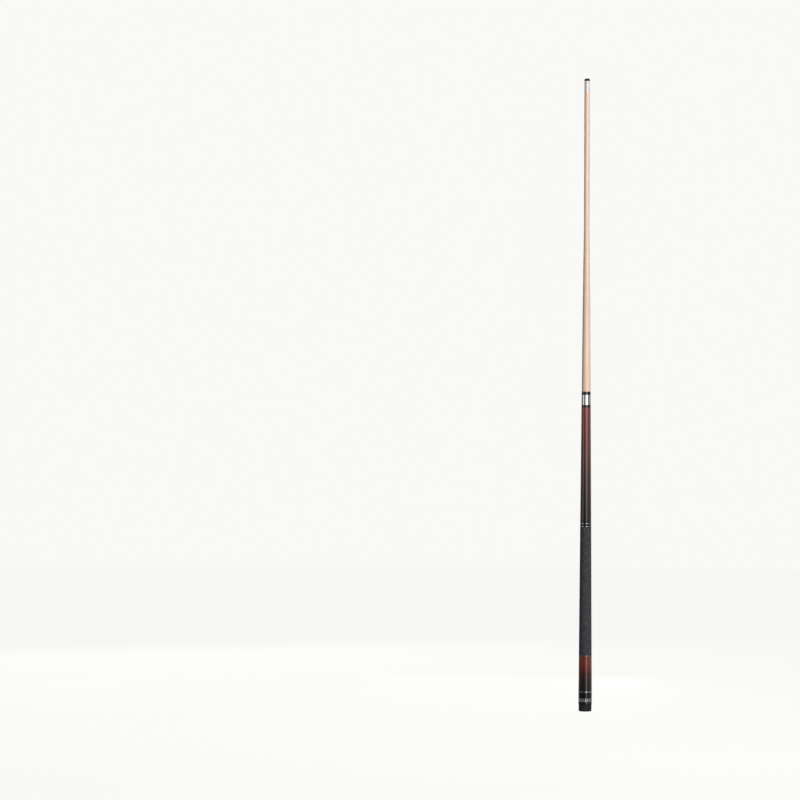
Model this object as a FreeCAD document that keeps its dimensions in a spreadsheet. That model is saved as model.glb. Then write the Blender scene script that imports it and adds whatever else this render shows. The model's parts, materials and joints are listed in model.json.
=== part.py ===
import FreeCAD, Part

import math
import os

import Sketcher

# A two-piece pool cue, standing upright on its rubber bumper.
# Frame: millimetres, origin at the centre of the bumper's foot, +Z along the cue towards the tip.
# The butt half and the shaft half meet at the joint plane, halfway up, and screw together there.

# Driving dimensions, in millimetres. Each one is a cell of the sheet "Sizes".
SIZES = {
    # lengths of the sections, from the foot up
    "bumper_len": 16.0,
    "cap_len": 28.0,
    "butt_ring_len": 3.0,
    "sleeve_len": 82.2,
    "sleeve_ring_len": 0.8,
    "wrap_len": 298.0,
    "black_lower_len": 1.6,
    "silver_lower_len": 1.0,
    "black_middle_len": 6.0,
    "silver_upper_len": 1.0,
    "black_upper_len": 8.4,
    "forearm_len": 261.0,
    "forearm_ring_len": 6.0,
    "joint_collar_len": 23.6,
    "shaft_collar_len": 7.4,
    "shaft_len": 697.6,
    "ferrule_len": 25.4,
    "pad_len": 1.0,
    "tip_len": 5.2,
    # outside diameters at the ends of the tapers
    "bumper_dia": 29.8,
    "cap_dia": 31.2,
    "wrap_foot_dia": 29.9,
    "forearm_foot_dia": 25.8,
    "joint_dia": 21.3,
    "shaft_foot_dia": 20.9,
    "swell_dia": 17.4,
    "slim_dia": 13.1,
    "tip_dia": 13.0,
    # heights above the shaft's foot where its taper changes
    "swell_height": 216.0,
    "slim_height": 381.0,
    # tip, ferrule and its tenon
    "tip_crown": 8.95,
    "ferrule_tenon_dia": 7.9,
    "ferrule_tenon_len": 21.4,
    # bumper, with its screw and washer
    "bumper_foot_round": 3.2,
    "bumper_top_round": 0.8,
    "well_dia": 13.0,
    "well_depth": 11.0,
    "spigot_dia": 13.6,
    "spigot_len": 5.0,
    "screw_hole_dia": 7.0,
    "washer_dia": 12.4,
    "washer_len": 1.2,
    "screw_head_dia": 10.4,
    "screw_head_len": 3.4,
    "screw_head_round": 1.1,
    "screw_len": 26.2,
    "screw_shank_len": 12.7,
    "recess_span": 5.6,
    "recess_width": 1.3,
    "recess_depth": 2.0,
    # butt cap, weight bolt and handle core
    "cap_hole_dia": 14.2,
    "cap_web_len": 14.0,
    "cap_edge": 0.4,
    "bolt_dia": 12.6,
    "bolt_len": 70.0,
    "bolt_rise": 6.0,
    "bolt_mouth_len": 2.0,
    "bolt_mouth_dia": 7.0,
    "bolt_tapped_len": 24.0,
    "bolt_thread_len": 21.0,
    "bolt_bore_len": 70.0,
    "core_tenon_dia": 22.0,
    "wrap_thickness": 0.9,
    # stud that joins the handle core to the forearm, inside the ring stack
    "stack_tenon_dia": 18.0,
    "stud_dia": 9.5,
    "stud_edge": 0.8,
    "stud_hole_len": 38.0,
    "stud_end_play": 2.0,
    # joint collar, pin and insert
    "joint_tenon_dia": 15.0,
    "collar_web_len": 5.0,
    "joint_edge": 0.35,
    "pin_out_len": 19.0,
    "pin_point_len": 1.4,
    "pin_hole_len": 46.0,
    "insert_dia": 11.0,
    "insert_len": 22.4,
    "insert_mouth_len": 3.5,
    "insert_mouth_dia": 8.74,
    "insert_rise": 0.5,
    "shaft_tenon_dia": 16.0,
    # threads: the joint's and the bumper screw's
    "pin_dia": 7.94,
    "pin_pitch": 1.8143,
    "pin_depth": 0.95,
    "pin_play": 0.2,
    "screw_dia": 6.35,
    "screw_pitch": 1.27,
    "screw_depth": 0.65,
    "screw_play": 0.16,
    # clearances
    "glue_gap": 0.03,
    "turning_gap": 0.05,
    "face_gap": 0.1,
    "bolt_gap": 0.05,
}

# The sections stacked along the cue: the level at the top of each is the foot of the next.
STACK = (
    ("cap_foot", "bumper_len"),
    ("butt_ring_foot", "cap_len"),
    ("sleeve_foot", "butt_ring_len"),
    ("sleeve_ring_foot", "sleeve_len"),
    ("wrap_foot", "sleeve_ring_len"),
    ("black_lower_foot", "wrap_len"),
    ("silver_lower_foot", "black_lower_len"),
    ("black_middle_foot", "silver_lower_len"),
    ("silver_upper_foot", "black_middle_len"),
    ("black_upper_foot", "silver_upper_len"),
    ("forearm_foot", "black_upper_len"),
    ("forearm_ring_foot", "forearm_len"),
    ("joint_collar_foot", "forearm_ring_len"),
    ("joint_plane", "joint_collar_len"),
    ("shaft_foot", "shaft_collar_len"),
    ("ferrule_foot", "shaft_len"),
    ("pad_foot", "ferrule_len"),
    ("tip_foot", "pad_len"),
)

# A thread's flanks lean 30 degrees from square, and its root and crest are an eighth of the pitch wide.
FLANK = math.tan(math.radians(30))
ROOT_SHARE = 0.125
THREAD_REACH = 0.1
EDGE_MATCH = 1e-3

doc = FreeCAD.newDocument("pool_cue")


def fill_sheet(name, cells):
    """A sheet with one aliased cell per entry, its alias written beside it."""
    sheet = doc.addObject("Spreadsheet::Sheet", name)
    for row, (alias, content) in enumerate(cells.items(), start=1):
        sheet.set(f"A{row}", alias)
        sheet.set(f"B{row}", content)
        sheet.setAlias(f"B{row}", alias)
    return sheet


def stacked_levels():
    """The height of each section's foot, as a formula of the one below."""
    levels = {}
    below = ""
    for foot, length in STACK:
        levels[foot] = f"={below}Sizes.{length}"
        below = f"{foot} + "
    return levels


sizes = fill_sheet("Sizes", {alias: str(value) for alias, value in SIZES.items()})
doc.recompute()
fill_sheet("Levels", stacked_levels())
doc.recompute()

# Outside diameters of the butt are straight tapers between these stations: a level and a diameter.
STATIONS = (
    ("Levels.butt_ring_foot", "Sizes.cap_dia"),
    ("Levels.wrap_foot", "Sizes.wrap_foot_dia"),
    ("Levels.forearm_foot", "Sizes.forearm_foot_dia"),
    ("Levels.joint_plane", "Sizes.joint_dia"),
)


def value_of(expression):
    """The number that an expression on the sheets gives now."""
    result = sizes.evalExpression(expression)
    return float(getattr(result, "Value", result))


def outside(level):
    """The butt's outside radius at a level, as an expression."""
    height = value_of(level)
    for (low, low_dia), (high, high_dia) in zip(STATIONS, STATIONS[1:]):
        if height <= value_of(high) + EDGE_MATCH:
            share = f"({level} - {low}) / ({high} - {low})"
            return f"({low_dia} + ({high_dia} - {low_dia}) * {share}) / 2"
    raise ValueError(f"{level} is above the joint plane")


def origin_plane(body, role):
    return next(f for f in body.Origin.OriginFeatures if f.Role == role)


def pin_down(sketch, corner, direction, expression):
    """Hold one corner of a sketch at a distance from the sketch's origin; "0" puts it on the axis."""
    if expression == "0":
        axis = {"X": -2, "Y": -1}[direction]
        sketch.addConstraint(Sketcher.Constraint("PointOnObject", corner, 1, axis))
        return
    name = {"X": "radius", "Y": "height"}[direction] + f"_{corner}"
    rule = Sketcher.Constraint("Distance" + direction, -1, 1, corner, 1, value_of(expression))
    index = sketch.addConstraint(rule)
    sketch.renameConstraint(index, name)
    sketch.setExpression("Constraints." + name, expression)


def closed_sketch(body, name, role, corners):
    """A closed polygon on one of the body's own planes; its corners are pairs of expressions."""
    sketch = body.newObject("Sketcher::SketchObject", name)
    sketch.AttachmentSupport = (origin_plane(body, role), [""])
    sketch.MapMode = "FlatFace"
    points = [FreeCAD.Vector(value_of(x), value_of(y), 0) for x, y in corners]
    for start, end in zip(points, points[1:] + points[:1]):
        sketch.addGeometry(Part.LineSegment(start, end))
    count = len(points)
    for corner in range(count):
        following = (corner + 1) % count
        sketch.addConstraint(Sketcher.Constraint("Coincident", corner, 2, following, 1))
    for corner, (x, y) in enumerate(corners):
        pin_down(sketch, corner, "X", x)
        pin_down(sketch, corner, "Y", y)
    return sketch


def turned(label, foot, corners):
    """A body of revolution about Z. Its section's corners are (radius, height above its foot)."""
    body = doc.addObject("PartDesign::Body", label)
    body.Label = label
    section = closed_sketch(body, label + "_section", "XZ_Plane", corners)
    spin = body.newObject("PartDesign::Revolution", label + "_turned")
    spin.Profile = section
    spin.ReferenceAxis = (section, ["V_Axis"])
    spin.Angle = 360
    if foot != "0":
        body.setExpression(".Placement.Base.z", foot)
    doc.recompute()
    return body


def ring(label, foot, length, bore):
    """A ring whose outside follows the butt's taper, on a plain bore."""
    top = f"{foot} + {length}"
    return turned(
        label,
        foot,
        [
            (f"{bore} / 2 + Sizes.glue_gap", "0"),
            (outside(foot), "0"),
            (outside(top), length),
            (f"{bore} / 2 + Sizes.glue_gap", length),
        ],
    )


def soften(body, kind, radius, height, size):
    """A fillet or chamfer on the circular edge of this radius at this height above the body's foot."""
    base = body.Tip
    wanted_radius = value_of(radius)
    wanted_height = value_of(height)
    found = [
        f"Edge{number}"
        for number, edge in enumerate(base.Shape.Edges, start=1)
        if isinstance(edge.Curve, Part.Circle)
        and abs(edge.Curve.Radius - wanted_radius) < EDGE_MATCH
        and abs(edge.Curve.Center.z - wanted_height) < EDGE_MATCH
    ]
    if not found:
        raise ValueError(f"{body.Label} has no edge of radius {wanted_radius} at {wanted_height}")
    feature = body.newObject("PartDesign::" + kind, f"{body.Label}_{kind.lower()}")
    feature.Base = (base, found)
    feature.setExpression({"Fillet": "Radius", "Chamfer": "Size"}[kind], size)
    doc.recompute()


def cut_helix(body, name, pitch, corners, start, length):
    """Cut a right-handed helical groove, its section centred on the height given by start."""
    before = body.Shape.Volume
    section = closed_sketch(
        body, name + "_section", "XZ_Plane", [(x, f"{start} + {y}") for x, y in corners]
    )
    groove = body.newObject("PartDesign::SubtractiveHelix", name)
    groove.Profile = section
    groove.ReferenceAxis = (section, ["V_Axis"])
    groove.Mode = "pitch-height-angle"
    groove.LeftHanded = False
    groove.setExpression("Pitch", pitch)
    groove.setExpression("Height", length)
    doc.recompute()
    if not body.Shape.Volume < before:
        raise ValueError(f"{name} cut nothing")


def outer_thread(body, thread, start, length):
    """The groove of a screw's thread. Its root is an eighth of the pitch wide."""
    root = f"Sizes.{thread}_dia / 2 - Sizes.{thread}_depth"
    rim = f"Sizes.{thread}_dia / 2 + {THREAD_REACH}"
    narrow = f"{ROOT_SHARE} * Sizes.{thread}_pitch"
    wide = f"({narrow} + {FLANK} * (Sizes.{thread}_depth + {THREAD_REACH}))"
    corners = [(root, f"(-{narrow})"), (root, narrow), (rim, wide), (rim, f"(-{wide})")]
    cut_helix(body, body.Label + "_thread", f"Sizes.{thread}_pitch", corners, start, length)


def inner_thread(body, thread, start, length):
    """The groove of a tapped hole: the screw's crest, wider by the play on every side."""
    inner = f"Sizes.{thread}_dia / 2 - Sizes.{thread}_depth + Sizes.{thread}_play - {THREAD_REACH}"
    outer = f"Sizes.{thread}_dia / 2 + Sizes.{thread}_play"
    foot = f"(0.5 - {ROOT_SHARE}) * Sizes.{thread}_pitch + Sizes.{thread}_play"
    wide = f"({foot} - {FLANK} * (Sizes.{thread}_play - {THREAD_REACH}))"
    narrow = f"({foot} - {FLANK} * (Sizes.{thread}_depth + Sizes.{thread}_play))"
    corners = [(inner, f"(-{wide})"), (inner, wide), (outer, narrow), (outer, f"(-{narrow})")]
    cut_helix(body, body.Label + "_thread", f"Sizes.{thread}_pitch", corners, start, length)


# ---- bumper, its washer and screw -------------------------------------------------------------
bumper = turned(
    "bumper",
    "0",
    [
        ("Sizes.well_dia / 2", "0"),
        ("Sizes.bumper_dia / 2", "0"),
        ("Sizes.bumper_dia / 2", "Sizes.bumper_len"),
        ("Sizes.spigot_dia / 2", "Sizes.bumper_len"),
        ("Sizes.spigot_dia / 2", "Sizes.bumper_len + Sizes.spigot_len"),
        ("Sizes.screw_hole_dia / 2", "Sizes.bumper_len + Sizes.spigot_len"),
        ("Sizes.screw_hole_dia / 2", "Sizes.well_depth"),
        ("Sizes.well_dia / 2", "Sizes.well_depth"),
    ],
)
soften(bumper, "Fillet", "Sizes.bumper_dia / 2", "0", "Sizes.bumper_foot_round")
soften(bumper, "Fillet", "Sizes.bumper_dia / 2", "Sizes.bumper_len", "Sizes.bumper_top_round")

washer = turned(
    "bumper_washer",
    "Sizes.well_depth - Sizes.washer_len",
    [
        ("Sizes.screw_hole_dia / 2", "0"),
        ("Sizes.washer_dia / 2", "0"),
        ("Sizes.washer_dia / 2", "Sizes.washer_len"),
        ("Sizes.screw_hole_dia / 2", "Sizes.washer_len"),
    ],
)

SCREW_FOOT = "Sizes.well_depth - Sizes.washer_len - Sizes.screw_head_len"
SCREW_TOP = "Sizes.screw_head_len + Sizes.screw_len"
screw = turned(
    "bumper_screw",
    SCREW_FOOT,
    [
        ("0", "0"),
        ("Sizes.screw_head_dia / 2", "0"),
        ("Sizes.screw_head_dia / 2", "Sizes.screw_head_len"),
        ("Sizes.screw_dia / 2", "Sizes.screw_head_len"),
        ("Sizes.screw_dia / 2", f"{SCREW_TOP} - Sizes.screw_depth"),
        ("Sizes.screw_dia / 2 - Sizes.screw_depth", SCREW_TOP),
        ("0", SCREW_TOP),
    ],
)
soften(screw, "Fillet", "Sizes.screw_head_dia / 2", "0", "Sizes.screw_head_round")


def cross_corners():
    """The twelve corners of a plus sign, as (x, y) expressions."""
    long_half = "Sizes.recess_span / 2"
    short_half = "Sizes.recess_width / 2"
    quarter = [(long_half, short_half), (short_half, short_half), (short_half, long_half)]
    signs = ((1, 1), (-1, 1), (-1, -1), (1, -1))
    corners = []
    for turn, (x_sign, y_sign) in enumerate(signs):
        group = quarter if turn % 2 == 0 else quarter[::-1]
        for x, y in group:
            corners.append((x if x_sign > 0 else f"-{x}", y if y_sign > 0 else f"-{y}"))
    return corners


before_recess = screw.Shape.Volume
recess_sketch = closed_sketch(screw, "recess_outline", "XY_Plane", cross_corners())
recess = screw.newObject("PartDesign::Pocket", "recess")
recess.Profile = recess_sketch
recess.Reversed = True
recess.setExpression("Length", "Sizes.recess_depth")
doc.recompute()
if not screw.Shape.Volume < before_recess:
    raise ValueError("the screw's recess cut nothing")

# ---- butt cap, weight bolt and butt sleeve ----------------------------------------------------
cap = turned(
    "butt_cap",
    "Levels.cap_foot",
    [
        ("Sizes.cap_hole_dia / 2", "0"),
        ("Sizes.cap_dia / 2", "0"),
        ("Sizes.cap_dia / 2", "Sizes.cap_len"),
        ("Sizes.core_tenon_dia / 2 + Sizes.glue_gap", "Sizes.cap_len"),
        ("Sizes.core_tenon_dia / 2 + Sizes.glue_gap", "Sizes.cap_web_len"),
        ("Sizes.cap_hole_dia / 2", "Sizes.cap_web_len"),
    ],
)
soften(cap, "Chamfer", "Sizes.cap_dia / 2", "0", "Sizes.cap_edge")

BOLT_FOOT = "Levels.cap_foot + Sizes.bolt_rise"
TAPPED_RADIUS = "Sizes.screw_dia / 2 - Sizes.screw_depth + Sizes.screw_play"
MOUTH_RADIUS = "Sizes.bolt_mouth_dia / 2"
weight_bolt = turned(
    "weight_bolt",
    BOLT_FOOT,
    [
        (MOUTH_RADIUS, "0"),
        ("Sizes.bolt_dia / 2", "0"),
        ("Sizes.bolt_dia / 2", "Sizes.bolt_len"),
        ("0", "Sizes.bolt_len"),
        ("0", "Sizes.bolt_tapped_len"),
        (TAPPED_RADIUS, "Sizes.bolt_tapped_len"),
        (TAPPED_RADIUS, "Sizes.bolt_mouth_len"),
        (MOUTH_RADIUS, "Sizes.bolt_mouth_len"),
    ],
)

ring("butt_ring", "Levels.butt_ring_foot", "Sizes.butt_ring_len", "Sizes.core_tenon_dia")
ring("butt_sleeve", "Levels.sleeve_foot", "Sizes.sleeve_len", "Sizes.core_tenon_dia")
ring("sleeve_ring", "Levels.sleeve_ring_foot", "Sizes.sleeve_ring_len", "Sizes.core_tenon_dia")

# ---- handle: core, linen wrap and ring stack --------------------------------------------------
CORE_FOOT = "Levels.cap_foot + Sizes.cap_web_len"
STACK_FOOT = "Levels.black_lower_foot"
CORE_TOP = f"Levels.forearm_foot - ({CORE_FOOT})"
UNDER_WRAP = "Sizes.wrap_thickness - Sizes.glue_gap"
STUD_RADIUS = "Sizes.stud_dia / 2 + Sizes.glue_gap"
turned(
    "handle_core",
    CORE_FOOT,
    [
        ("0", "Sizes.bolt_bore_len"),
        ("Sizes.bolt_dia / 2 + Sizes.bolt_gap", "Sizes.bolt_bore_len"),
        ("Sizes.bolt_dia / 2 + Sizes.bolt_gap", "0"),
        ("Sizes.core_tenon_dia / 2", "0"),
        ("Sizes.core_tenon_dia / 2", f"Levels.wrap_foot - ({CORE_FOOT})"),
        (f"{outside('Levels.wrap_foot')} - {UNDER_WRAP}", f"Levels.wrap_foot - ({CORE_FOOT})"),
        (f"{outside(STACK_FOOT)} - {UNDER_WRAP}", f"{STACK_FOOT} - ({CORE_FOOT})"),
        ("Sizes.stack_tenon_dia / 2", f"{STACK_FOOT} - ({CORE_FOOT})"),
        ("Sizes.stack_tenon_dia / 2", CORE_TOP),
        (STUD_RADIUS, CORE_TOP),
        (STUD_RADIUS, f"{CORE_TOP} - Sizes.stud_hole_len"),
        ("0", f"{CORE_TOP} - Sizes.stud_hole_len"),
    ],
)

WRAP_WALL = "Sizes.wrap_thickness - 2 * Sizes.glue_gap"
turned(
    "wrap",
    "Levels.wrap_foot",
    [
        (f"{outside('Levels.wrap_foot')} - ({WRAP_WALL})", "0"),
        (outside("Levels.wrap_foot"), "0"),
        (outside(STACK_FOOT), "Sizes.wrap_len"),
        (f"{outside(STACK_FOOT)} - ({WRAP_WALL})", "Sizes.wrap_len"),
    ],
)

for band in ("black_lower", "silver_lower", "black_middle", "silver_upper", "black_upper"):
    ring(
        f"handle_ring_{band}",
        f"Levels.{band}_foot",
        f"Sizes.{band}_len",
        "Sizes.stack_tenon_dia",
    )

STUD_LEN = "2 * (Sizes.stud_hole_len - Sizes.stud_end_play)"
stud = turned(
    "handle_stud",
    "Levels.forearm_foot - Sizes.stud_hole_len + Sizes.stud_end_play",
    [
        ("0", "0"),
        ("Sizes.stud_dia / 2", "0"),
        ("Sizes.stud_dia / 2", STUD_LEN),
        ("0", STUD_LEN),
    ],
)
soften(stud, "Chamfer", "Sizes.stud_dia / 2", "0", "Sizes.stud_edge")

# ---- forearm, joint collar and pin ------------------------------------------------------------
PIN_RADIUS = "Sizes.pin_dia / 2 + Sizes.glue_gap"
TENON_TOP = (
    "Levels.joint_plane - Sizes.collar_web_len - Sizes.face_gap - Levels.forearm_foot"
)
PIN_HOLE_FOOT = "Levels.joint_plane - Sizes.pin_hole_len - Levels.forearm_foot"
turned(
    "forearm",
    "Levels.forearm_foot",
    [
        ("0", "Sizes.stud_hole_len"),
        (STUD_RADIUS, "Sizes.stud_hole_len"),
        (STUD_RADIUS, "0"),
        (outside("Levels.forearm_foot"), "0"),
        (outside("Levels.forearm_ring_foot"), "Sizes.forearm_len"),
        ("Sizes.joint_tenon_dia / 2", "Sizes.forearm_len"),
        ("Sizes.joint_tenon_dia / 2", TENON_TOP),
        (PIN_RADIUS, TENON_TOP),
        (PIN_RADIUS, PIN_HOLE_FOOT),
        ("0", PIN_HOLE_FOOT),
    ],
)

ring("forearm_ring", "Levels.forearm_ring_foot", "Sizes.forearm_ring_len", "Sizes.joint_tenon_dia")

COLLAR_STEP = "Sizes.joint_collar_len - Sizes.collar_web_len"
collar = turned(
    "joint_collar",
    "Levels.joint_collar_foot",
    [
        ("Sizes.joint_tenon_dia / 2 + Sizes.glue_gap", "0"),
        (outside("Levels.joint_collar_foot"), "0"),
        (outside("Levels.joint_plane"), "Sizes.joint_collar_len"),
        (PIN_RADIUS, "Sizes.joint_collar_len"),
        (PIN_RADIUS, COLLAR_STEP),
        ("Sizes.joint_tenon_dia / 2 + Sizes.glue_gap", COLLAR_STEP),
    ],
)
soften(
    collar, "Chamfer", "Sizes.joint_dia / 2", "Sizes.joint_collar_len", "Sizes.joint_edge"
)

PIN_FOOT = "Levels.joint_plane - Sizes.pin_hole_len + Sizes.stud_end_play"
PIN_PLANE = "Sizes.pin_hole_len - Sizes.stud_end_play"
PIN_TOP = f"{PIN_PLANE} + Sizes.pin_out_len"
joint_pin = turned(
    "joint_pin",
    PIN_FOOT,
    [
        ("0", "0"),
        ("Sizes.pin_dia / 2", "0"),
        ("Sizes.pin_dia / 2", f"{PIN_TOP} - Sizes.pin_point_len"),
        ("Sizes.pin_dia / 2 - Sizes.pin_depth", PIN_TOP),
        ("0", PIN_TOP),
    ],
)

# ---- shaft half: collar, insert, shaft, ferrule, pad and tip ----------------------------------
COLLAR_BORE = "Sizes.shaft_tenon_dia / 2 + Sizes.turning_gap"
shaft_collar = turned(
    "shaft_collar",
    "Levels.joint_plane",
    [
        (COLLAR_BORE, "0"),
        ("Sizes.joint_dia / 2", "0"),
        ("Sizes.shaft_foot_dia / 2", "Sizes.shaft_collar_len"),
        (COLLAR_BORE, "Sizes.shaft_collar_len"),
    ],
)
soften(shaft_collar, "Chamfer", "Sizes.joint_dia / 2", "0", "Sizes.joint_edge")

INSERT_BORE = "Sizes.pin_dia / 2 - Sizes.pin_depth + Sizes.pin_play"
INSERT_MOUTH = "Sizes.insert_mouth_dia / 2"
shaft_insert = turned(
    "shaft_insert",
    "Levels.joint_plane + Sizes.insert_rise",
    [
        (INSERT_MOUTH, "0"),
        ("Sizes.insert_dia / 2", "0"),
        ("Sizes.insert_dia / 2", "Sizes.insert_len"),
        (INSERT_BORE, "Sizes.insert_len"),
        (INSERT_BORE, "Sizes.insert_mouth_len"),
        (INSERT_MOUTH, "Sizes.insert_mouth_len"),
    ],
)

SHAFT_BASE = "Levels.joint_plane + Sizes.face_gap"
SHOULDER = "Sizes.shaft_collar_len - Sizes.face_gap"
INSERT_HOLE = "Sizes.insert_dia / 2 + Sizes.glue_gap"
INSERT_HOLE_TOP = "Sizes.insert_rise + Sizes.insert_len + Sizes.face_gap"
turned(
    "shaft",
    SHAFT_BASE,
    [
        (INSERT_HOLE, "0"),
        ("Sizes.shaft_tenon_dia / 2", "0"),
        ("Sizes.shaft_tenon_dia / 2", SHOULDER),
        ("Sizes.shaft_foot_dia / 2", SHOULDER),
        ("Sizes.swell_dia / 2", f"{SHOULDER} + Sizes.swell_height"),
        ("Sizes.slim_dia / 2", f"{SHOULDER} + Sizes.slim_height"),
        ("Sizes.tip_dia / 2", f"{SHOULDER} + Sizes.shaft_len"),
        ("Sizes.ferrule_tenon_dia / 2", f"{SHOULDER} + Sizes.shaft_len"),
        (
            "Sizes.ferrule_tenon_dia / 2",
            f"{SHOULDER} + Sizes.shaft_len + Sizes.ferrule_tenon_len",
        ),
        ("0", f"{SHOULDER} + Sizes.shaft_len + Sizes.ferrule_tenon_len"),
        ("0", INSERT_HOLE_TOP),
        (INSERT_HOLE, INSERT_HOLE_TOP),
    ],
)

FERRULE_BORE = "Sizes.ferrule_tenon_dia / 2 + Sizes.glue_gap"
FERRULE_BORE_TOP = "Sizes.ferrule_tenon_len + Sizes.face_gap"
turned(
    "ferrule",
    "Levels.ferrule_foot",
    [
        (FERRULE_BORE, "0"),
        ("Sizes.tip_dia / 2", "0"),
        ("Sizes.tip_dia / 2", "Sizes.ferrule_len"),
        ("0", "Sizes.ferrule_len"),
        ("0", FERRULE_BORE_TOP),
        (FERRULE_BORE, FERRULE_BORE_TOP),
    ],
)

pad = doc.addObject("Part::Cylinder", "tip_pad")
pad.Label = "tip_pad"
pad.setExpression("Radius", "Sizes.tip_dia / 2")
pad.setExpression("Height", "Sizes.pad_len")
pad.setExpression(".Placement.Base.z", "Levels.pad_foot")

# The leather tip is a short cylinder crowned by a sphere about as round as a small coin.
tip_blank = doc.addObject("Part::Cylinder", "tip_blank")
tip_blank.setExpression("Radius", "Sizes.tip_dia / 2")
tip_blank.setExpression("Height", "Sizes.tip_len")
tip_ball = doc.addObject("Part::Sphere", "tip_ball")
tip_ball.setExpression("Radius", "Sizes.tip_crown")
tip_ball.setExpression(".Placement.Base.z", "Sizes.tip_len - Sizes.tip_crown")
tip = doc.addObject("Part::Common", "tip")
tip.Label = "tip"
tip.Base = tip_blank
tip.Tool = tip_ball
tip.setExpression(".Placement.Base.z", "Levels.tip_foot")
doc.recompute()

# ---- threads ----------------------------------------------------------------------------------
# Each screw's groove starts just inside its tapped part's mouth. The tapped part's groove starts
# half a pitch lower, in the open mouth, so that crest faces groove from the first turn to the last.
PIN_START = f"{PIN_PLANE} + Sizes.pin_pitch"
outer_thread(joint_pin, "pin", PIN_START, "Sizes.pin_out_len + Sizes.pin_pitch")
PIN_TO_INSERT = f"({PIN_FOOT}) - (Levels.joint_plane + Sizes.insert_rise)"
inner_thread(
    shaft_insert,
    "pin",
    f"{PIN_START} + {PIN_TO_INSERT} - Sizes.pin_pitch / 2",
    "Sizes.insert_len + Sizes.pin_pitch",
)

SCREW_START = "Sizes.screw_head_len + Sizes.screw_shank_len"
THREADED_LEN = "Sizes.screw_len - Sizes.screw_shank_len + Sizes.screw_pitch"
outer_thread(screw, "screw", SCREW_START, THREADED_LEN)
SCREW_TO_BOLT = f"({SCREW_FOOT}) - ({BOLT_FOOT})"
inner_thread(
    weight_bolt,
    "screw",
    f"{SCREW_START} + {SCREW_TO_BOLT} - Sizes.screw_pitch / 2",
    "Sizes.bolt_thread_len",
)

# ---- check and write --------------------------------------------------------------------------
CONSTRUCTION = ("tip_blank", "tip_ball")


def sub_parts():
    """The objects that are pieces of the cue, by label."""
    kinds = ("PartDesign::Body", "Part::Cylinder", "Part::Common")
    found = [o for o in doc.Objects if o.TypeId in kinds and o.Name not in CONSTRUCTION]
    return {o.Label: o for o in found}


doc.recompute()
for item in doc.Objects:
    if "Invalid" in item.State or "Error" in item.State:
        raise RuntimeError(f"{item.Label} is in state {item.State}")
pieces = sub_parts()
for label, piece in pieces.items():
    shape = piece.Shape
    if shape.isNull() or not shape.isValid() or len(shape.Solids) != 1:
        raise RuntimeError(f"{label} has no single valid solid")

os.makedirs("parts", exist_ok=True)
for label, piece in pieces.items():
    piece.Shape.exportStep(f"parts/{label}.step")
    box = piece.Shape.BoundBox
    print(f"{label:28s} z {box.ZMin:8.2f} to {box.ZMax:8.2f}  volume {piece.Shape.Volume:9.1f} mm3")
print(len(pieces), "pieces")
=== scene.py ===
import json
import math

import bmesh
import bpy
import numpy as np
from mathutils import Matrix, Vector, noise

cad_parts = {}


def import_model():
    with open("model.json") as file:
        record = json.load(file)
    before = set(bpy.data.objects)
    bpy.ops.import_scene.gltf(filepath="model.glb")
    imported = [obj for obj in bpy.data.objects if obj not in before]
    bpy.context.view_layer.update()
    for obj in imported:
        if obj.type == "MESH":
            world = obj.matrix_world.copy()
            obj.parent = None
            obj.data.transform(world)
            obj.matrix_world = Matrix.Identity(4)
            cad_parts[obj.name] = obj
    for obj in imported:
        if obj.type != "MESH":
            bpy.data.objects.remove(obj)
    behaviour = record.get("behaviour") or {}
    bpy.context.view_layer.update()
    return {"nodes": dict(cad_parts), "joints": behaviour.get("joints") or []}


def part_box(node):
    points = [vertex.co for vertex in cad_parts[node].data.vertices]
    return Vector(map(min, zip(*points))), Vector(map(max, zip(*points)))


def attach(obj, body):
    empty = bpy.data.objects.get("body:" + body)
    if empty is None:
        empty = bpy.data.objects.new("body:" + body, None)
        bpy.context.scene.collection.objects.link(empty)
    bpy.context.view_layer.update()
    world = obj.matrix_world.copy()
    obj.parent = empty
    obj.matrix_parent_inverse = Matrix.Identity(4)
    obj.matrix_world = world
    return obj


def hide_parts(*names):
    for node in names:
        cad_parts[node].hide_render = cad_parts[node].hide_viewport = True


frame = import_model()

NODES = frame["nodes"]
TURN = 2 * math.pi
MM = 0.001

# ---- sizes read from the frame ------------------------------------------------------------------


def foot_of(node):
    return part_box(node)[0][2]


def top_of(node):
    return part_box(node)[1][2]


def radius_of(node):
    """A node's largest radius; the cue's axis is the frame's Z axis."""
    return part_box(node)[1][0]


# ---- material kit -------------------------------------------------------------------------------


def srgb(red, green, blue):
    """A colour given as 0 to 255 on a display, as the linear RGBA that Blender's sockets take."""

    def linear(level):
        share = level / 255
        return share / 12.92 if share <= 0.04045 else ((share + 0.055) / 1.055) ** 2.4

    return (linear(red), linear(green), linear(blue), 1.0)


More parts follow.
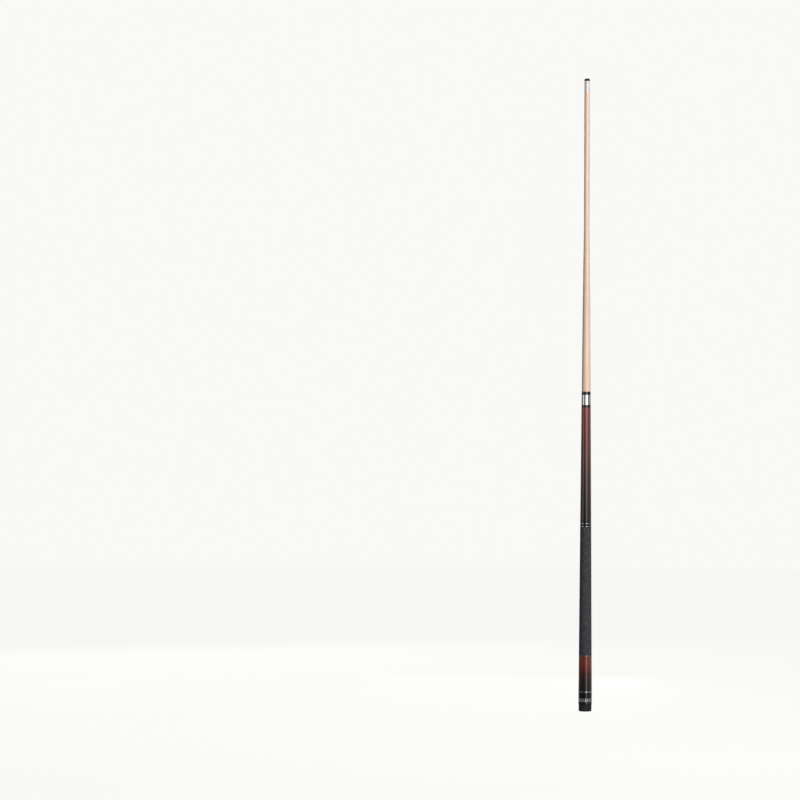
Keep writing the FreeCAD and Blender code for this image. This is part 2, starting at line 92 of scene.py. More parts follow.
class Finish:
    """A Principled material, with a short call for each kind of node that feeds it."""

    def __init__(self, name, **settings):
        self.material = bpy.data.materials.new(name)
        self.material.use_nodes = True
        tree = self.material.node_tree
        self.nodes, self.links = tree.nodes, tree.links
        self.nodes.clear()
        output = self.nodes.new("ShaderNodeOutputMaterial")
        self.shader = self.nodes.new("ShaderNodeBsdfPrincipled")
        self.links.new(self.shader.outputs["BSDF"], output.inputs["Surface"])
        self.position = self.nodes.new("ShaderNodeTexCoord").outputs["Object"]
        self.set(**settings)

    def set(self, **settings):
        """Set or link the shader's sockets; coat_roughness=0.1 means the socket Coat Roughness."""
        for label, value in settings.items():
            self.feed(self.shader.inputs[label.replace("_", " ").title().replace("Ior", "IOR")], value)

    def feed(self, socket, value):
        if isinstance(value, bpy.types.NodeSocket):
            self.links.new(value, socket)
        else:
            socket.default_value = value

    def node(self, kind, inputs=(), **settings):
        made = self.nodes.new("ShaderNode" + kind)
        for label, value in settings.items():
            setattr(made, label, value)
        for socket, value in zip(made.inputs, inputs):
            self.feed(socket, value)
        return made

    def maths(self, operation, *values):
        return self.node("Math", values, operation=operation).outputs[0]

    def axis(self, name):
        return self.node("SeparateXYZ", (self.position,)).outputs[name]

    def angle(self):
        """The angle about the cue's axis, from -pi to pi."""
        return self.maths("ARCTAN2", self.axis("Y"), self.axis("X"))

    def stretched(self, across, along):
        """The position, scaled across the cue and along it."""
        scale = (across, across, along)
        return self.node("VectorMath", (self.position, scale), operation="MULTIPLY").outputs[0]

    def noise(self, vector, detail=3.0, rough=0.55):
        made = self.node("TexNoise", noise_dimensions="3D")
        self.feed(made.inputs["Vector"], vector)
        self.feed(made.inputs["Scale"], 1.0)
        self.feed(made.inputs["Detail"], detail)
        self.feed(made.inputs["Roughness"], rough)
        return made.outputs["Fac"]

    def grain(self, across, along, detail=3.0, rough=0.55):
        """Noise with about that many features a metre, across the cue and along it."""
        return self.noise(self.stretched(across, along), detail, rough)

    def span(self, value, low, high, to_low=0.0, to_high=1.0):
        """The value's place between low and high, clamped."""
        made = self.node("MapRange", clamp=True, interpolation_type="LINEAR")
        for socket, setting in zip(made.inputs, (value, low, high, to_low, to_high)):
            self.feed(socket, setting)
        return made.outputs[0]

    def ramp(self, value, stops):
        """A colour ramp of (place, colour) stops."""
        made = self.node("ValToRGB", (value,))
        points = made.color_ramp.elements
        while len(points) < len(stops):
            points.new(1.0)
        for point, (place, colour) in zip(points, stops):
            point.position = place
            point.color = colour
        return made.outputs["Color"]

    def blend(self, share, first, second, mode="MIX"):
        made = self.node("Mix", data_type="RGBA", blend_type=mode)
        self.feed(made.inputs[0], share)
        self.feed(made.inputs[6], first)
        self.feed(made.inputs[7], second)
        return made.outputs[2]

    def relief(self, height, distance, strength=1.0):
        """Bump on the shader's normal, of the given height in metres."""
        made = self.node("Bump")
        self.feed(made.inputs["Strength"], strength)
        self.feed(made.inputs["Distance"], distance)
        self.feed(made.inputs["Height"], height)
        self.set(normal=made.outputs["Normal"])


def dress(finish, *nodes):
    """Give CAD nodes a finish."""
    for node in nodes:
        slots = NODES[node].data.materials
        slots.clear()
        slots.append(finish.material)


# ---- wood ---------------------------------------------------------------------------------------

RING_SPACING = 1.9 * MM
RING_WANDER = 1.6 * RING_SPACING
PITH_OFFSET = 41 * MM
PITH_LEAN = 0.013
FIBRES = (1900, 38)
STREAK_SHARE = 0.55
FIBRE_SHARE = 0.3
RING_SHARE = 0.15
STAIN_UNEVENNESS = 0.12


def growth_rings(finish, wander):
    """Lines of a dowel sawn beside the pith, 0 to 1: straight on two sides, arched on the others."""
    lean = finish.maths("MULTIPLY_ADD", finish.axis("Z"), PITH_LEAN, PITH_OFFSET)
    across = finish.maths("ADD", finish.axis("X"), lean)
    squares = [finish.maths("MULTIPLY", side, side) for side in (across, finish.axis("Y"))]
    distance = finish.maths("SQRT", finish.maths("ADD", *squares))
    waved = finish.maths("MULTIPLY_ADD", wander, RING_WANDER, distance)
    phase = finish.maths("MULTIPLY", waved, TURN / RING_SPACING)
    return finish.maths("MULTIPLY_ADD", finish.maths("SINE", phase), 0.5, 0.5)


def wood(name, contrast, **settings):
    """A wood finish and its figure, from 0 in the dark lines to 1 in the light ones."""
    finish = Finish(name, **settings)
    streaks = finish.grain(260, 5, detail=4.0)
    fibres = finish.grain(*FIBRES, rough=0.65)
    rings = growth_rings(finish, finish.grain(90, 4, detail=2.0))
    fine = finish.maths("MULTIPLY", fibres, FIBRE_SHARE)
    mixed = finish.maths("MULTIPLY_ADD", streaks, STREAK_SHARE, fine)
    figure = finish.maths("MULTIPLY_ADD", rings, RING_SHARE, mixed)
    return finish, finish.span(figure, 0.5 - contrast, 0.5 + contrast)


def flecks(finish, share, depth):
    """Short dark dashes along the grain, and how dark they are, from 0 to depth."""
    dashes = finish.grain(4200, 330, detail=1.0, rough=0.4)
    return finish.span(dashes, 1.0 - share, 1.1 - share, 0.0, depth)


def maple():
    finish, figure = wood("maple", 0.22, coat_weight=0.25, coat_roughness=0.2, specular_ior_level=0.3)
    plain = finish.ramp(
        figure,
        [(0.0, srgb(206, 173, 149)), (0.45, srgb(221, 192, 169)), (1.0, srgb(231, 206, 186))],
    )
    finish.set(
        base_color=finish.blend(flecks(finish, 0.4, 0.55), plain, srgb(178, 140, 112)),
        roughness=finish.span(figure, 0.0, 1.0, 0.42, 0.3),
    )
    finish.relief(finish.grain(*FIBRES), 0.02 * MM, 0.5)
    return finish


def stained(name, stops, foot, top):
    """Stained wood under clear gloss: the stain's colours lie along the cue between two heights."""
    finish, figure = wood(
        name, 0.24, coat_weight=1.0, coat_roughness=0.06, coat_ior=1.5, specular_ior_level=0.12
    )
    height = finish.span(finish.axis("Z"), foot, top)
    blotches = finish.grain(120, 9, detail=2.0)
    uneven = finish.maths("MULTIPLY_ADD", blotches, STAIN_UNEVENNESS, height)
    placed = finish.maths("SUBTRACT", uneven, STAIN_UNEVENNESS / 2)
    stain = finish.ramp(placed, stops)
    soaked = finish.blend(1.0, stain, srgb(150, 140, 140), "MULTIPLY")
    lit = finish.blend(1.0, stain, srgb(60, 52, 46), "SCREEN")
    lively = finish.blend(0.35, stain, lit)
    finish.set(
        base_color=finish.blend(figure, soaked, lively),
        roughness=finish.span(figure, 0.0, 1.0, 0.5, 0.34),
    )
    return finish


FOREARM_STAIN = [
    (0.0, srgb(17, 11, 12)),
    (0.1, srgb(27, 17, 17)),
    (0.35, srgb(60, 33, 34)),
    (0.62, srgb(100, 46, 40)),
    (0.88, srgb(124, 52, 43)),
    (1.0, srgb(130, 54, 43)),
]
SLEEVE_STAIN = [
    (0.0, srgb(14, 9, 12)),
    (0.12, srgb(21, 12, 15)),
    (0.28, srgb(38, 17, 21)),
    (0.49, srgb(66, 20, 17)),
    (0.61, srgb(106, 25, 11)),
    (0.71, srgb(128, 36, 16)),
    (0.82, srgb(128, 50, 27)),
    (1.0, srgb(114, 60, 40)),
]


def core_wood():
    finish, figure = wood("core_wood", 0.24, roughness=0.7, specular_ior_level=0.3)
    finish.set(base_color=finish.ramp(figure, [(0.0, srgb(140, 98, 64)), (1.0, srgb(188, 146, 104))]))
    finish.relief(figure, 0.05 * MM, 0.6)
    return finish


# ---- plastics, rubber, leather ------------------------------------------------------------------

# How far up from its foot the cap is scuffed and the bumper dusty.
SCUFF_HEIGHT = 5 * MM


def black_phenolic(name, low_scuff=None):
    """Polished black phenolic: a faint cloudiness, and dulled towards low_scuff if that is given."""
    finish = Finish(name, coat_weight=0.7, coat_roughness=0.07, specular_ior_level=0.2)
    cloud = finish.grain(420, 300, detail=4.0)
    rubbed = finish.grain(2600, 900, detail=2.0, rough=0.7)
    colour = finish.ramp(cloud, [(0.3, srgb(12, 10, 11)), (0.7, srgb(24, 21, 22))])
    dulled = finish.span(rubbed, 0.35, 0.75, 0.22, 0.34)
    if low_scuff is not None:
        worn = finish.span(finish.axis("Z"), low_scuff + SCUFF_HEIGHT, low_scuff)
        patchy = finish.maths("MULTIPLY", worn, finish.span(rubbed, 0.4, 0.6))
        colour = finish.blend(patchy, colour, srgb(40, 38, 38))
        dulled = finish.maths("MULTIPLY_ADD", patchy, 0.25, dulled)
    finish.set(base_color=colour, roughness=dulled)
    finish.relief(rubbed, 0.004 * MM, 0.4)
    return finish


def ferrule():
    finish = Finish("ferrule", coat_weight=0.35, coat_roughness=0.12, specular_ior_level=0.5)
    mottle = finish.grain(500, 260, detail=4.0)
    turned = finish.grain(60, 7000, detail=1.0)
    handled = finish.maths(
        "MULTIPLY",
        finish.span(finish.axis("Z"), foot_of("ferrule"), top_of("ferrule"), 0.1, 0.5),
        finish.span(finish.grain(2600, 1500, detail=4.0, rough=0.7), 0.45, 0.75),
    )
    clean = finish.ramp(mottle, [(0.3, srgb(205, 198, 191)), (0.7, srgb(215, 209, 203))])
    finish.set(
        base_color=finish.blend(handled, clean, srgb(166, 159, 152)),
        roughness=finish.span(turned, 0.3, 0.7, 0.26, 0.36),
        subsurface_weight=0.08,
        subsurface_scale=0.002,
    )
    finish.relief(turned, 0.004 * MM, 0.25)
    return finish


def leather():
    finish = Finish("tip_leather", specular_ior_level=0.35)
    grain = finish.grain(2400, 2400, detail=5.0, rough=0.65)
    patches = finish.grain(420, 700, detail=3.0)
    plain = finish.ramp(grain, [(0.3, srgb(8, 6, 5)), (0.6, srgb(22, 17, 14)), (0.8, srgb(38, 31, 25))])
    finish.set(
        base_color=finish.blend(finish.span(patches, 0.5, 0.75), plain, srgb(40, 34, 29)),
        roughness=finish.span(patches, 0.3, 0.7, 0.62, 0.88),
        sheen_weight=0.12,
        sheen_roughness=0.6,
    )
    finish.relief(grain, 0.06 * MM, 0.8)
    return finish


def fibre_pad():
    finish = Finish("tip_fibre", specular_ior_level=0.4)
    fibres = finish.grain(700, 4200, detail=3.0)
    finish.set(
        base_color=finish.ramp(fibres, [(0.3, srgb(20, 15, 13)), (0.75, srgb(44, 35, 30))]),
        roughness=finish.span(fibres, 0.3, 0.7, 0.5, 0.7),
    )
    finish.relief(fibres, 0.02 * MM, 0.6)
    return finish


def rubber():
    finish = Finish("rubber", specular_ior_level=0.4)
    pebble = finish.grain(3600, 3600, detail=2.0)
    dusty = finish.grain(900, 700, detail=5.0, rough=0.65)
    low = finish.span(finish.axis("Z"), foot_of("bumper") + SCUFF_HEIGHT, foot_of("bumper"))
    dust = finish.maths("MULTIPLY", low, finish.span(dusty, 0.42, 0.68))
    plain = finish.ramp(dusty, [(0.3, srgb(19, 18, 19)), (0.7, srgb(31, 30, 31))])
    finish.set(
        base_color=finish.blend(dust, plain, srgb(60, 58, 56)),
        roughness=finish.span(dusty, 0.3, 0.7, 0.52, 0.72),
    )
    finish.relief(pebble, 0.03 * MM, 0.7)
    return finish


# ---- metals -------------------------------------------------------------------------------------


def turned_metal(name, dark, light, rough_low, rough_high, lines=6500):
    """Metal turned on a lathe: fine lines run round it, and it is a little unevenly polished."""
    finish = Finish(name, metallic=1.0)
    marks = finish.grain(40, lines, detail=2.0)
    smears = finish.grain(260, 420, detail=4.0)
    finish.set(
        base_color=finish.ramp(smears, [(0.3, dark), (0.7, light)]),
        roughness=finish.span(marks, 0.25, 0.75, rough_low, rough_high),
    )
    finish.relief(marks, 0.003 * MM, 0.5)
    return finish


def plated_steel():
    finish = Finish("steel", metallic=1.0)
    spangle = finish.grain(900, 900, detail=4.0, rough=0.65)
    finish.set(
        base_color=finish.ramp(spangle, [(0.3, srgb(140, 140, 144)), (0.7, srgb(186, 187, 188))]),
        roughness=finish.span(spangle, 0.3, 0.7, 0.24, 0.44),
    )
    finish.relief(spangle, 0.006 * MM, 0.5)
    return finish


# ---- linen thread -------------------------------------------------------------------------------

THREAD_PITCH = 0.95 * MM
THREAD_RELIEF = 0.2 * MM
THREAD_DEPTH = 0.6 * MM
THREAD_SLACK = 0.05 * MM
THREAD_COLUMNS = 50
THREAD_ROWS = 6
TWIST_LENGTH = 1.4 * MM
TWIST_SLANT = 1.1
TWIST_SHARE = 0.12
SLUB_SCALE = 420
# How far apart neighbouring turns lie in the noise, so that each has slubs of its own.
TURN_STEP = 7.3
# The wrap's radius where the twist has its true length, as a share of its foot radius.
TWIST_RADIUS = 0.9


def linen():
    """Charcoal linen: each turn has its own flecks and slubs, a diagonal twist, and painted groove
    shade.
    """
    finish = Finish("linen", specular_ior_level=0.14, sheen_weight=0.03, sheen_roughness=0.5)
    share = finish.maths("DIVIDE", finish.angle(), TURN)
    turns = finish.maths("SUBTRACT", finish.maths("DIVIDE", finish.axis("Z"), THREAD_PITCH), share)
    turn = finish.maths("FLOOR", turns)
    across = finish.maths("FRACT", turns)
    own = finish.node("CombineXYZ")
    for side in ("X", "Y"):
        finish.feed(own.inputs[side], finish.maths("MULTIPLY", finish.axis(side), SLUB_SCALE))
    finish.feed(own.inputs["Z"], finish.maths("MULTIPLY", turn, TURN_STEP))
    slubs = finish.noise(own.outputs[0], detail=4.0, rough=0.7)
    broad = finish.grain(150, 90, detail=3.0)
    twists = TWIST_RADIUS * radius_of("wrap") / TWIST_LENGTH
    arc = finish.maths("MULTIPLY", finish.angle(), twists)
    phase = finish.maths("MULTIPLY_ADD", across, TWIST_SLANT, arc)
    wave = finish.maths("SINE", finish.maths("MULTIPLY", phase, TURN))
    twist = finish.maths("MULTIPLY_ADD", wave, 0.5, 0.5)
    flecked = finish.maths("MULTIPLY", slubs, 1 - TWIST_SHARE)
    mixed = finish.maths("MULTIPLY_ADD", twist, TWIST_SHARE, flecked)
    thread = finish.ramp(
        mixed,
        [
            (0.3, srgb(28, 28, 33)),
            (0.5, srgb(60, 59, 65)),
            (0.62, srgb(100, 99, 103)),
            (0.75, srgb(166, 163, 162)),
        ],
    )
    # Painted shade: near-black is blended along the edges of each turn, where the grooves between turns
    # lie.
    groove = finish.span(finish.maths("PINGPONG", across, 0.5), 0.0, 0.2)
    thread_with_painted_shade = finish.blend(groove, srgb(15, 15, 18), thread)
    finish.set(
        base_color=finish.blend(finish.span(broad, 0.35, 0.7, 0.0, 0.25), thread_with_painted_shade, srgb(38, 37, 43)),
        roughness=finish.span(slubs, 0.3, 0.7, 0.55, 0.8),
    )
    finish.relief(twist, 0.04 * MM, 0.6)
    return finish


def thread_points():
    """Rows of points round the wrap; along a row the points climb one turn's pitch."""
    foot, top = foot_of("wrap"), top_of("wrap")
    foot_radius, top_radius = radius_of("wrap"), radius_of("handle_ring_black_lower")
    turns = math.ceil((top - foot) / THREAD_PITCH) + 1
    rows = np.arange(-THREAD_ROWS, turns * THREAD_ROWS + 1)
    row, column = np.meshgrid(rows, np.arange(THREAD_COLUMNS), indexing="ij")
    along = row / THREAD_ROWS + column / THREAD_COLUMNS
    height = foot + along * THREAD_PITCH
    share = (height - foot) / (top - foot)
    crest = foot_radius + (top_radius - foot_radius) * share
    across = 2 * (row / THREAD_ROWS % 1.0) - 1
    sag = 1 - np.sqrt(np.clip(1 - across**2, 0, 1))
    uneven = np.random.default_rng(7).uniform(0.0, THREAD_SLACK, turns + 3)
    slack = np.interp(along, np.arange(len(uneven)) - 1, uneven)
    radius = crest - THREAD_RELIEF * sag - slack
    turned = TURN * column / THREAD_COLUMNS
    height = np.clip(height, foot, top)
    return np.stack([radius * np.cos(turned), radius * np.sin(turned), height], axis=-1)


def thread_faces(points):
    """Faces between the rows, without those that the wrap's flat ends leave no height."""
    flat = points.reshape(-1, 3)

    def corner(line, side):
        """A grid point's number: past the last column the helix has climbed one turn."""
        climb, side = divmod(side, THREAD_COLUMNS)
        return (line + climb * THREAD_ROWS) * THREAD_COLUMNS + side

    faces = []
    for line in range(len(points) - 1 - THREAD_ROWS):
        for side in range(THREAD_COLUMNS):
            face = [
                corner(line, side),
                corner(line, side + 1),
                corner(line + 1, side + 1),
                corner(line + 1, side),
            ]
            levels = {round(float(flat[index][2]), 7) for index in face}
            if len(levels) > 1:
                faces.append(face)
    return faces


def wound_thread(finish):
    """The wrap as one long thread, its turns side by side: a helical ridge from foot to top."""
    points = thread_points()
    piece = mesh_piece("wrap_thread", points.reshape(-1, 3), thread_faces(points), finish)
    close_tube(piece.data, THREAD_DEPTH)
    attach(piece, "butt")
    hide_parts("wrap")


# ---- mesh kit -----------------------------------------------------------------------------------


def mesh_piece(name, points, faces, finish, smooth=True):
    """A mesh object from points and faces, with loose points removed."""
    used = sorted({index for face in faces for index in face})
    renumber = {old: new for new, old in enumerate(used)}
    mesh = bpy.data.meshes.new(name)
    kept = [tuple(float(value) for value in points[index]) for index in used]
    mesh.from_pydata(kept, [], [[renumber[index] for index in face] for face in faces])
    mesh.update()
    mesh.polygons.foreach_set("use_smooth", [smooth] * len(mesh.polygons))
    mesh.materials.append(finish.material)
    piece = bpy.data.objects.new(name, mesh)
    bpy.context.scene.collection.objects.link(piece)
    return piece


def store_in_order(work, mesh):
    """Write a bmesh to a mesh in the order of its coordinates.

    The bmesh operators leave the order of what they make to chance, and this makes every run alike.
    A quad still starts at one end of the diagonal that it had, so it is split the same way.
    """
    vertices = sorted(work.verts, key=lambda vertex: tuple(vertex.co))
    number = {vertex: index for index, vertex in enumerate(vertices)}
    faces = []
    for face in work.faces:
        corners = [number[vertex] for vertex in face.verts]
        step = 2 if len(corners) == 4 else 1
        first = min(range(0, len(corners), step), key=lambda start: corners[start])
        faces.append((corners[first:] + corners[:first], face.smooth))
    faces.sort()
    points = [tuple(vertex.co) for vertex in vertices]
    mesh.clear_geometry()
    mesh.from_pydata(points, [], [corners for corners, smooth in faces])
    mesh.polygons.foreach_set("use_smooth", [smooth for corners, smooth in faces])
    mesh.update()


def close_tube(mesh, thickness):
    """Close an open tube's two ends with flat rims, and line it with an inner wall."""
    work = bmesh.new()
    work.from_mesh(mesh)
    rims = [edge for edge in work.edges if edge.is_boundary]
    made = bmesh.ops.extrude_edge_only(work, edges=rims)["geom"]
    inner = [part for part in made if isinstance(part, bmesh.types.BMEdge) and part.is_boundary]
    for vertex in {vertex for edge in inner for vertex in edge.verts}:
        vertex.co.xy = vertex.co.xy * (1 - thickness / vertex.co.xy.length)
    bmesh.ops.bridge_loops(work, edges=inner)
    bmesh.ops.recalc_face_normals(work, faces=work.faces)
    store_in_order(work, mesh)
    work.free()


def lathe(profile, columns):
    """Points and faces of a closed profile, (radius, height) from the axis out and back to it."""
    angles = [TURN * side / columns for side in range(columns)]
    ring_points = [
        (radius * math.cos(angle), radius * math.sin(angle), height)
        for radius, height in profile[1:-1]
        for angle in angles
    ]
    points = [(0.0, 0.0, profile[0][1]), (0.0, 0.0, profile[-1][1])] + ring_points
    rings = len(profile) - 2

    def corner(ring, side):
        return 2 + ring * columns + side % columns

    faces = [[0, corner(0, side + 1), corner(0, side)] for side in range(columns)]
    for ring in range(rings - 1):
        for side in range(columns):
            low = [corner(ring, side), corner(ring, side + 1)]
            high = [corner(ring + 1, side + 1), corner(ring + 1, side)]
            faces.append(low + high)
    faces += [[1, corner(rings - 1, side), corner(rings - 1, side + 1)] for side in range(columns)]
    return points, faces


# ---- leather tip --------------------------------------------------------------------------------

TIP_LAYERS = 5
LAYER_ROWS = 6
LAYER_GROOVE = 0.035 * MM
GROOVE_SHARPNESS = 8
CROWN_RADIUS = 9.0 * MM
CROWN_ROWS = 28
TIP_COLUMNS = 96
TIP_INSET = 0.01 * MM
DENT_SCALE = 900
DENT_DEPTH = 0.09 * MM


def tip_profile(foot, shoulder, top, radius):
    """The tip's outline: a side with a fine groove at each layer's edge, then the crown's arc."""
    profile = [(0.0, foot)]
    side_rows = TIP_LAYERS * LAYER_ROWS
    for row in range(side_rows + 1):
        share = row / side_rows
        pinch = abs(math.cos(math.pi * share * TIP_LAYERS)) ** GROOVE_SHARPNESS
        profile.append((radius - LAYER_GROOVE * pinch, foot + share * (shoulder - foot)))
    steepest = math.asin(radius / CROWN_RADIUS)
    for row in range(1, CROWN_ROWS):
        lean = steepest * (1 - row / CROWN_ROWS)
        height = top - CROWN_RADIUS + CROWN_RADIUS * math.cos(lean)
        profile.append((CROWN_RADIUS * math.sin(lean), height))
    profile.append((0.0, top))
    return profile


def leather_tip(finish):
    """The tip: laminated leather sides and a scuffed crown."""
    foot, top = foot_of("tip"), top_of("tip")
    radius = radius_of("tip") - TIP_INSET
    shoulder = top - CROWN_RADIUS + math.sqrt(CROWN_RADIUS**2 - radius**2)
    points, faces = lathe(tip_profile(foot, shoulder, top, radius), TIP_COLUMNS)
    scuffed = []
    for point in points:
        spot = Vector(point)
        if spot.z > shoulder:
            dent = noise.fractal(spot * DENT_SCALE, 0.7, 2.0, 4) * 0.5 + 0.5
            spot.z -= DENT_DEPTH * max(0.0, dent)
        scuffed.append(spot)
    piece = mesh_piece("tip_crown", scuffed, faces, finish)
    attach(piece, "shaft")
    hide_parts("tip")


# ---- silver band on the butt cap ----------------------------------------------------------------

BAND_FOOT = 6.6 * MM
BAND_HEIGHT = 7.4 * MM
BAND_LINE = 1.0 * MM
BAND_PROUD = 0.02 * MM
BAND_DEPTH = 0.4 * MM
# Each line of the band has this many flats for each lozenge.
LINE_COLUMNS = 8
LOZENGES = 18
# The lozenges' width and blunt tip are shares of the room that each has.
LOZENGE_WIDTH = 0.86
LOZENGE_TIP = 0.03
LOZENGE_GAP = 0.6 * BAND_LINE
LOZENGE_STATIONS = 9
SHARP_ANGLE = math.radians(40)


def cap_band(finish):
    """A plain inlaid band: two silver lines, with a row of silver lozenges between them."""
    foot = foot_of("butt_cap") + BAND_FOOT
    face = radius_of("butt_cap") + BAND_PROUD
    back = face - BAND_DEPTH
    points, faces = [], []

    def inlay(stations, closed=False):
        """A solid let into the cap's side: its (angle, low, high) at stations from left to right."""
        start, count = len(points), len(stations)
        for angle, low, high in stations:
            for radius, height in ((face, low), (face, high), (back, high), (back, low)):
                points.append((radius * math.cos(angle), radius * math.sin(angle), height))
        for station in range(count if closed else count - 1):
            here, there = [start + 4 * (number % count) for number in (station, station + 1)]
            for side in range(4):
                after = (side + 1) % 4
                faces.append([here + side, there + side, there + after, here + after])
        if not closed:
            faces.append([start + side for side in range(4)])
            faces.append([start + 4 * count - 1 - side for side in range(4)])

    columns = LINE_COLUMNS * LOZENGES
    for low in (foot, foot + BAND_HEIGHT - BAND_LINE):
        line = [(TURN * side / columns, low, low + BAND_LINE) for side in range(columns)]
        inlay(line, closed=True)
    middle = foot + BAND_HEIGHT / 2
    tall = BAND_HEIGHT / 2 - BAND_LINE - LOZENGE_GAP
    step = TURN / LOZENGES
    for lozenge in range(LOZENGES):
        stations = []
        for across in np.linspace(LOZENGE_TIP - 1, 1 - LOZENGE_TIP, LOZENGE_STATIONS):
            reach = tall * (1 - abs(across))
            angle = (lozenge + 0.5 + across * LOZENGE_WIDTH / 2) * step
            stations.append((angle, middle - reach, middle + reach))
        inlay(stations)
    piece = mesh_piece("cap_band", points, faces, finish)
    piece.data.set_sharp_from_angle(angle=SHARP_ANGLE)
    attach(piece, "butt")


# ---- surroundings: floor, world, lights, camera --------------------------------------------------

# The camera looks level along +Y and stands left of the cue, so the cue is right of the middle.
CAMERA_DISTANCE = 10.0
CAMERA_LEFT = 0.4332
CAMERA_HEIGHT = 0.7230
CAMERA_ROLL = -0.0035
# The width that the camera sees at the cue's distance.
FRAME_WIDTH = 1.862
SENSOR = 36.0
CAMERA_ANGLE = math.atan2(CAMERA_LEFT, CAMERA_DISTANCE)

FLOOR_RADIUS = 9.0
FLOOR_COLUMNS = 96
FLOOR_GAP = 1 * MM
FLOOR_GLOW = 0.92
PALE = (1.0, 0.995, 0.985, 1.0)
WORLD_SEEN = 0.95
WORLD_AMBIENT = 0.22
WORLD_MIRRORED = 0.06
SOFT_SIDE = 0.13
SOFT_END = 0.6


def lowest_reach():
    """How far below the cue's foot the bumper comes when it is screwed right out."""
    travel = [joint for joint in frame["joints"] if joint["name"] == "bumper_travel"]
    return -travel[0]["range_m"][1]


def floor():
    """A pale disc just below the lowest point that the bumper reaches."""
    finish = Finish("floor", roughness=0.9, specular_ior_level=0.1, base_color=srgb(50, 50, 49))
    finish.set(emission_color=PALE, emission_strength=FLOOR_GLOW)
    level = lowest_reach() - FLOOR_GAP
    angles = [TURN * side / FLOOR_COLUMNS for side in range(FLOOR_COLUMNS)]
    rim = [(FLOOR_RADIUS * math.cos(angle), FLOOR_RADIUS * math.sin(angle), level) for angle in angles]
    ground = mesh_piece("floor", rim, [list(range(FLOOR_COLUMNS))], finish, smooth=False)
    ground.visible_diffuse = False
    ground.visible_glossy = False


def world():
    """Pale to look at, softer as light, and dim in reflections, so that gloss shows the softboxes."""
    made = bpy.data.worlds.new("studio")
    made.use_nodes = True
    nodes, links = made.node_tree.nodes, made.node_tree.links
    nodes.clear()
    paths = nodes.new("ShaderNodeLightPath").outputs
    seen, ambient, mirrored = [nodes.new("ShaderNodeBackground") for _ in range(3)]
    levels = (WORLD_SEEN, WORLD_AMBIENT, WORLD_MIRRORED)
    for background, level in zip((seen, ambient, mirrored), levels):
        background.inputs["Color"].default_value = PALE
        background.inputs["Strength"].default_value = level
    glossy, camera = [nodes.new("ShaderNodeMixShader") for _ in range(2)]
    output = nodes.new("ShaderNodeOutputWorld")
    links.new(paths["Is Glossy Ray"], glossy.inputs[0])
    links.new(ambient.outputs[0], glossy.inputs[1])
    links.new(mirrored.outputs[0], glossy.inputs[2])
    links.new(paths["Is Camera Ray"], camera.inputs[0])
    links.new(glossy.outputs[0], camera.inputs[1])
    links.new(seen.outputs[0], camera.inputs[2])
    links.new(camera.outputs[0], output.inputs["Surface"])
    bpy.context.scene.world = made


def soften_edges(light):
    """Fade an area light's strength over SOFT_SIDE at its sides and SOFT_END at its ends."""
    light.use_nodes = True
    nodes, links = light.node_tree.nodes, light.node_tree.links
    place = nodes.new("ShaderNodeSeparateXYZ")
    links.new(nodes.new("ShaderNodeNewGeometry").outputs["Parametric"], place.inputs[0])
    both = nodes.new("ShaderNodeMath")
    both.operation = "MULTIPLY"
    shares = (min(0.5, SOFT_SIDE / light.size), SOFT_END / light.size_y)
    for axis, share, socket in zip("XY", shares, both.inputs):
        inward = nodes.new("ShaderNodeMath")
        inward.operation = "PINGPONG"
        inward.inputs[1].default_value = 0.5
        links.new(place.outputs[axis], inward.inputs[0])
        fade = nodes.new("ShaderNodeMapRange")
        fade.interpolation_type = "SMOOTHSTEP"
        fade.inputs["From Max"].default_value = share
        links.new(inward.outputs[0], fade.inputs["Value"])
        links.new(fade.outputs[0], socket)
    links.new(both.outputs[0], nodes["Emission"].inputs["Strength"])


def softbox(
    name, angle, distance, width, brightness, foot=-0.5, top=2.4, mirrored=True, lit=True
):
    """A tall soft-edged light facing the cue, at an angle to the right of the camera as it sees it.

    The gloss mirrors it if mirrored is set, and it lights the cue if lit is set.
    """
    light = bpy.data.lights.new(name, "AREA")
    light.shape = "RECTANGLE"
    light.size = width
    light.size_y = top - foot
    light.energy = brightness * math.pi * width * (top - foot)
    soften_edges(light)
    lamp = bpy.data.objects.new(name, light)
    bearing = math.radians(angle) - CAMERA_ANGLE
    place = (distance * math.sin(bearing), -distance * math.cos(bearing), (foot + top) / 2)
    lamp.location = place
    lamp.rotation_euler = (math.pi / 2, 0.0, bearing)
    lamp.visible_camera = False
    lamp.visible_glossy = mirrored
    lamp.visible_diffuse = lit
    bpy.context.scene.collection.objects.link(lamp)


def camera():
    made = bpy.data.cameras.new("camera")
    made.sensor_width = SENSOR
    made.lens = SENSOR * CAMERA_DISTANCE / FRAME_WIDTH
    eye = bpy.data.objects.new("camera", made)
    eye.location = (-CAMERA_LEFT, -CAMERA_DISTANCE, CAMERA_HEIGHT)
    eye.rotation_euler = (math.pi / 2, CAMERA_ROLL, 0.0)
    bpy.context.scene.collection.objects.link(eye)
    bpy.context.scene.camera = eye


# ---- the scene ----------------------------------------------------------------------------------

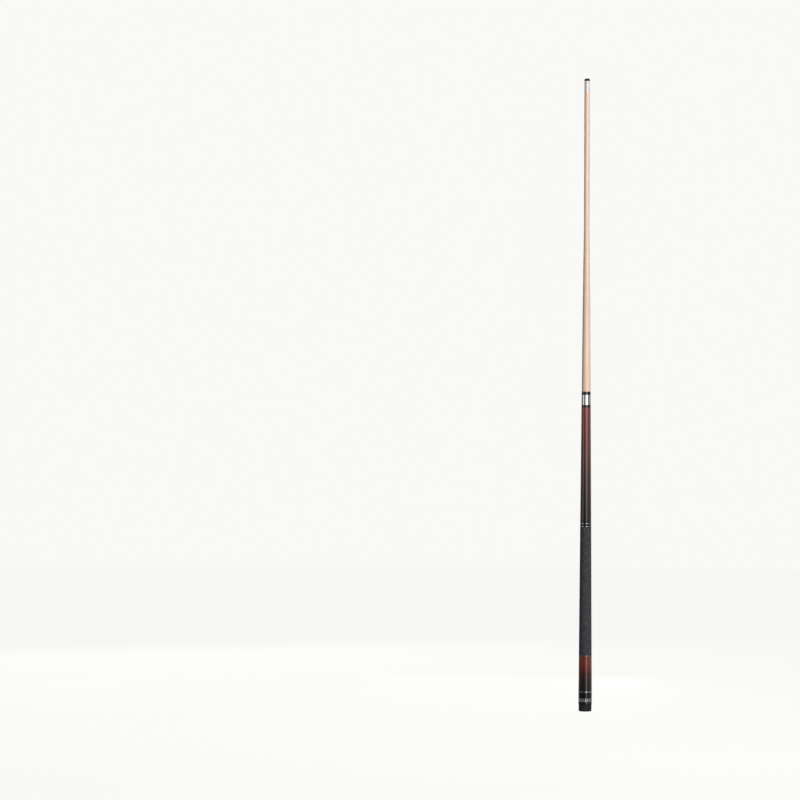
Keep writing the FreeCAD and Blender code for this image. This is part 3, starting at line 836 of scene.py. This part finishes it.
camera()
world()
floor()
softbox("front", 24, 1.5, 1.2, 1.0, lit=False)
softbox("front_high", 12, 1.6, 1.6, 2.7, foot=0.35, lit=False)
softbox("front_strip", 22, 1.4, 0.2, 4.2, lit=False)
softbox("right", 78, 1.5, 1.3, 0.4, lit=False)
softbox("left_strip", -62, 1.5, 0.7, 1.7, foot=-0.1, lit=False)
softbox("rim_left", -122, 1.8, 1.2, 0.5, lit=False)
softbox("rim_right", 128, 1.8, 1.2, 0.8, lit=False)
softbox("back", 188, 1.5, 0.9, 0.9, lit=False)
softbox("back_strip", 176, 1.4, 0.2, 3.4, lit=False)
softbox("key", 32, 3.2, 2.0, 9.3, foot=0.3, top=3.0, mirrored=False)
softbox("back_key", 205, 3.2, 2.0, 9.0, foot=0.3, top=3.0, mirrored=False)
bpy.context.scene.view_settings.view_transform = "Standard"

black = black_phenolic("black_phenolic")
silver = turned_metal("silver", srgb(150, 151, 154), srgb(184, 184, 186), 0.16, 0.3)
stainless = turned_metal("stainless", srgb(184, 183, 182), srgb(208, 207, 205), 0.1, 0.22)
brass = turned_metal("brass", srgb(176, 132, 62), srgb(212, 170, 96), 0.16, 0.3)
inlay = turned_metal("inlaid_silver", srgb(204, 204, 206), srgb(226, 226, 228), 0.4, 0.52)
forearm = stained(
    "stained_forearm", FOREARM_STAIN, foot_of("forearm"), foot_of("forearm_ring")
)
sleeve = stained(
    "stained_sleeve", SLEEVE_STAIN, foot_of("butt_sleeve"), top_of("butt_sleeve")
)
dress(maple(), "shaft")
dress(forearm, "forearm")
dress(sleeve, "butt_sleeve")
dress(core_wood(), "handle_core")
dress(black, "shaft_collar", "forearm_ring")
dress(black, *[f"handle_ring_black_{place}" for place in ("upper", "middle", "lower")])
dress(black_phenolic("cap_phenolic", foot_of("butt_cap")), "butt_cap")
dress(silver, "handle_ring_silver_upper", "handle_ring_silver_lower", "sleeve_ring", "butt_ring")
dress(stainless, "joint_collar", "joint_pin")
dress(brass, "shaft_insert")
dress(plated_steel(), "weight_bolt", "handle_stud", "bumper_washer", "bumper_screw")
dress(ferrule(), "ferrule")
dress(fibre_pad(), "tip_pad")
dress(rubber(), "bumper")
leather_tip(leather())
wound_thread(linen())
cap_band(inlay)
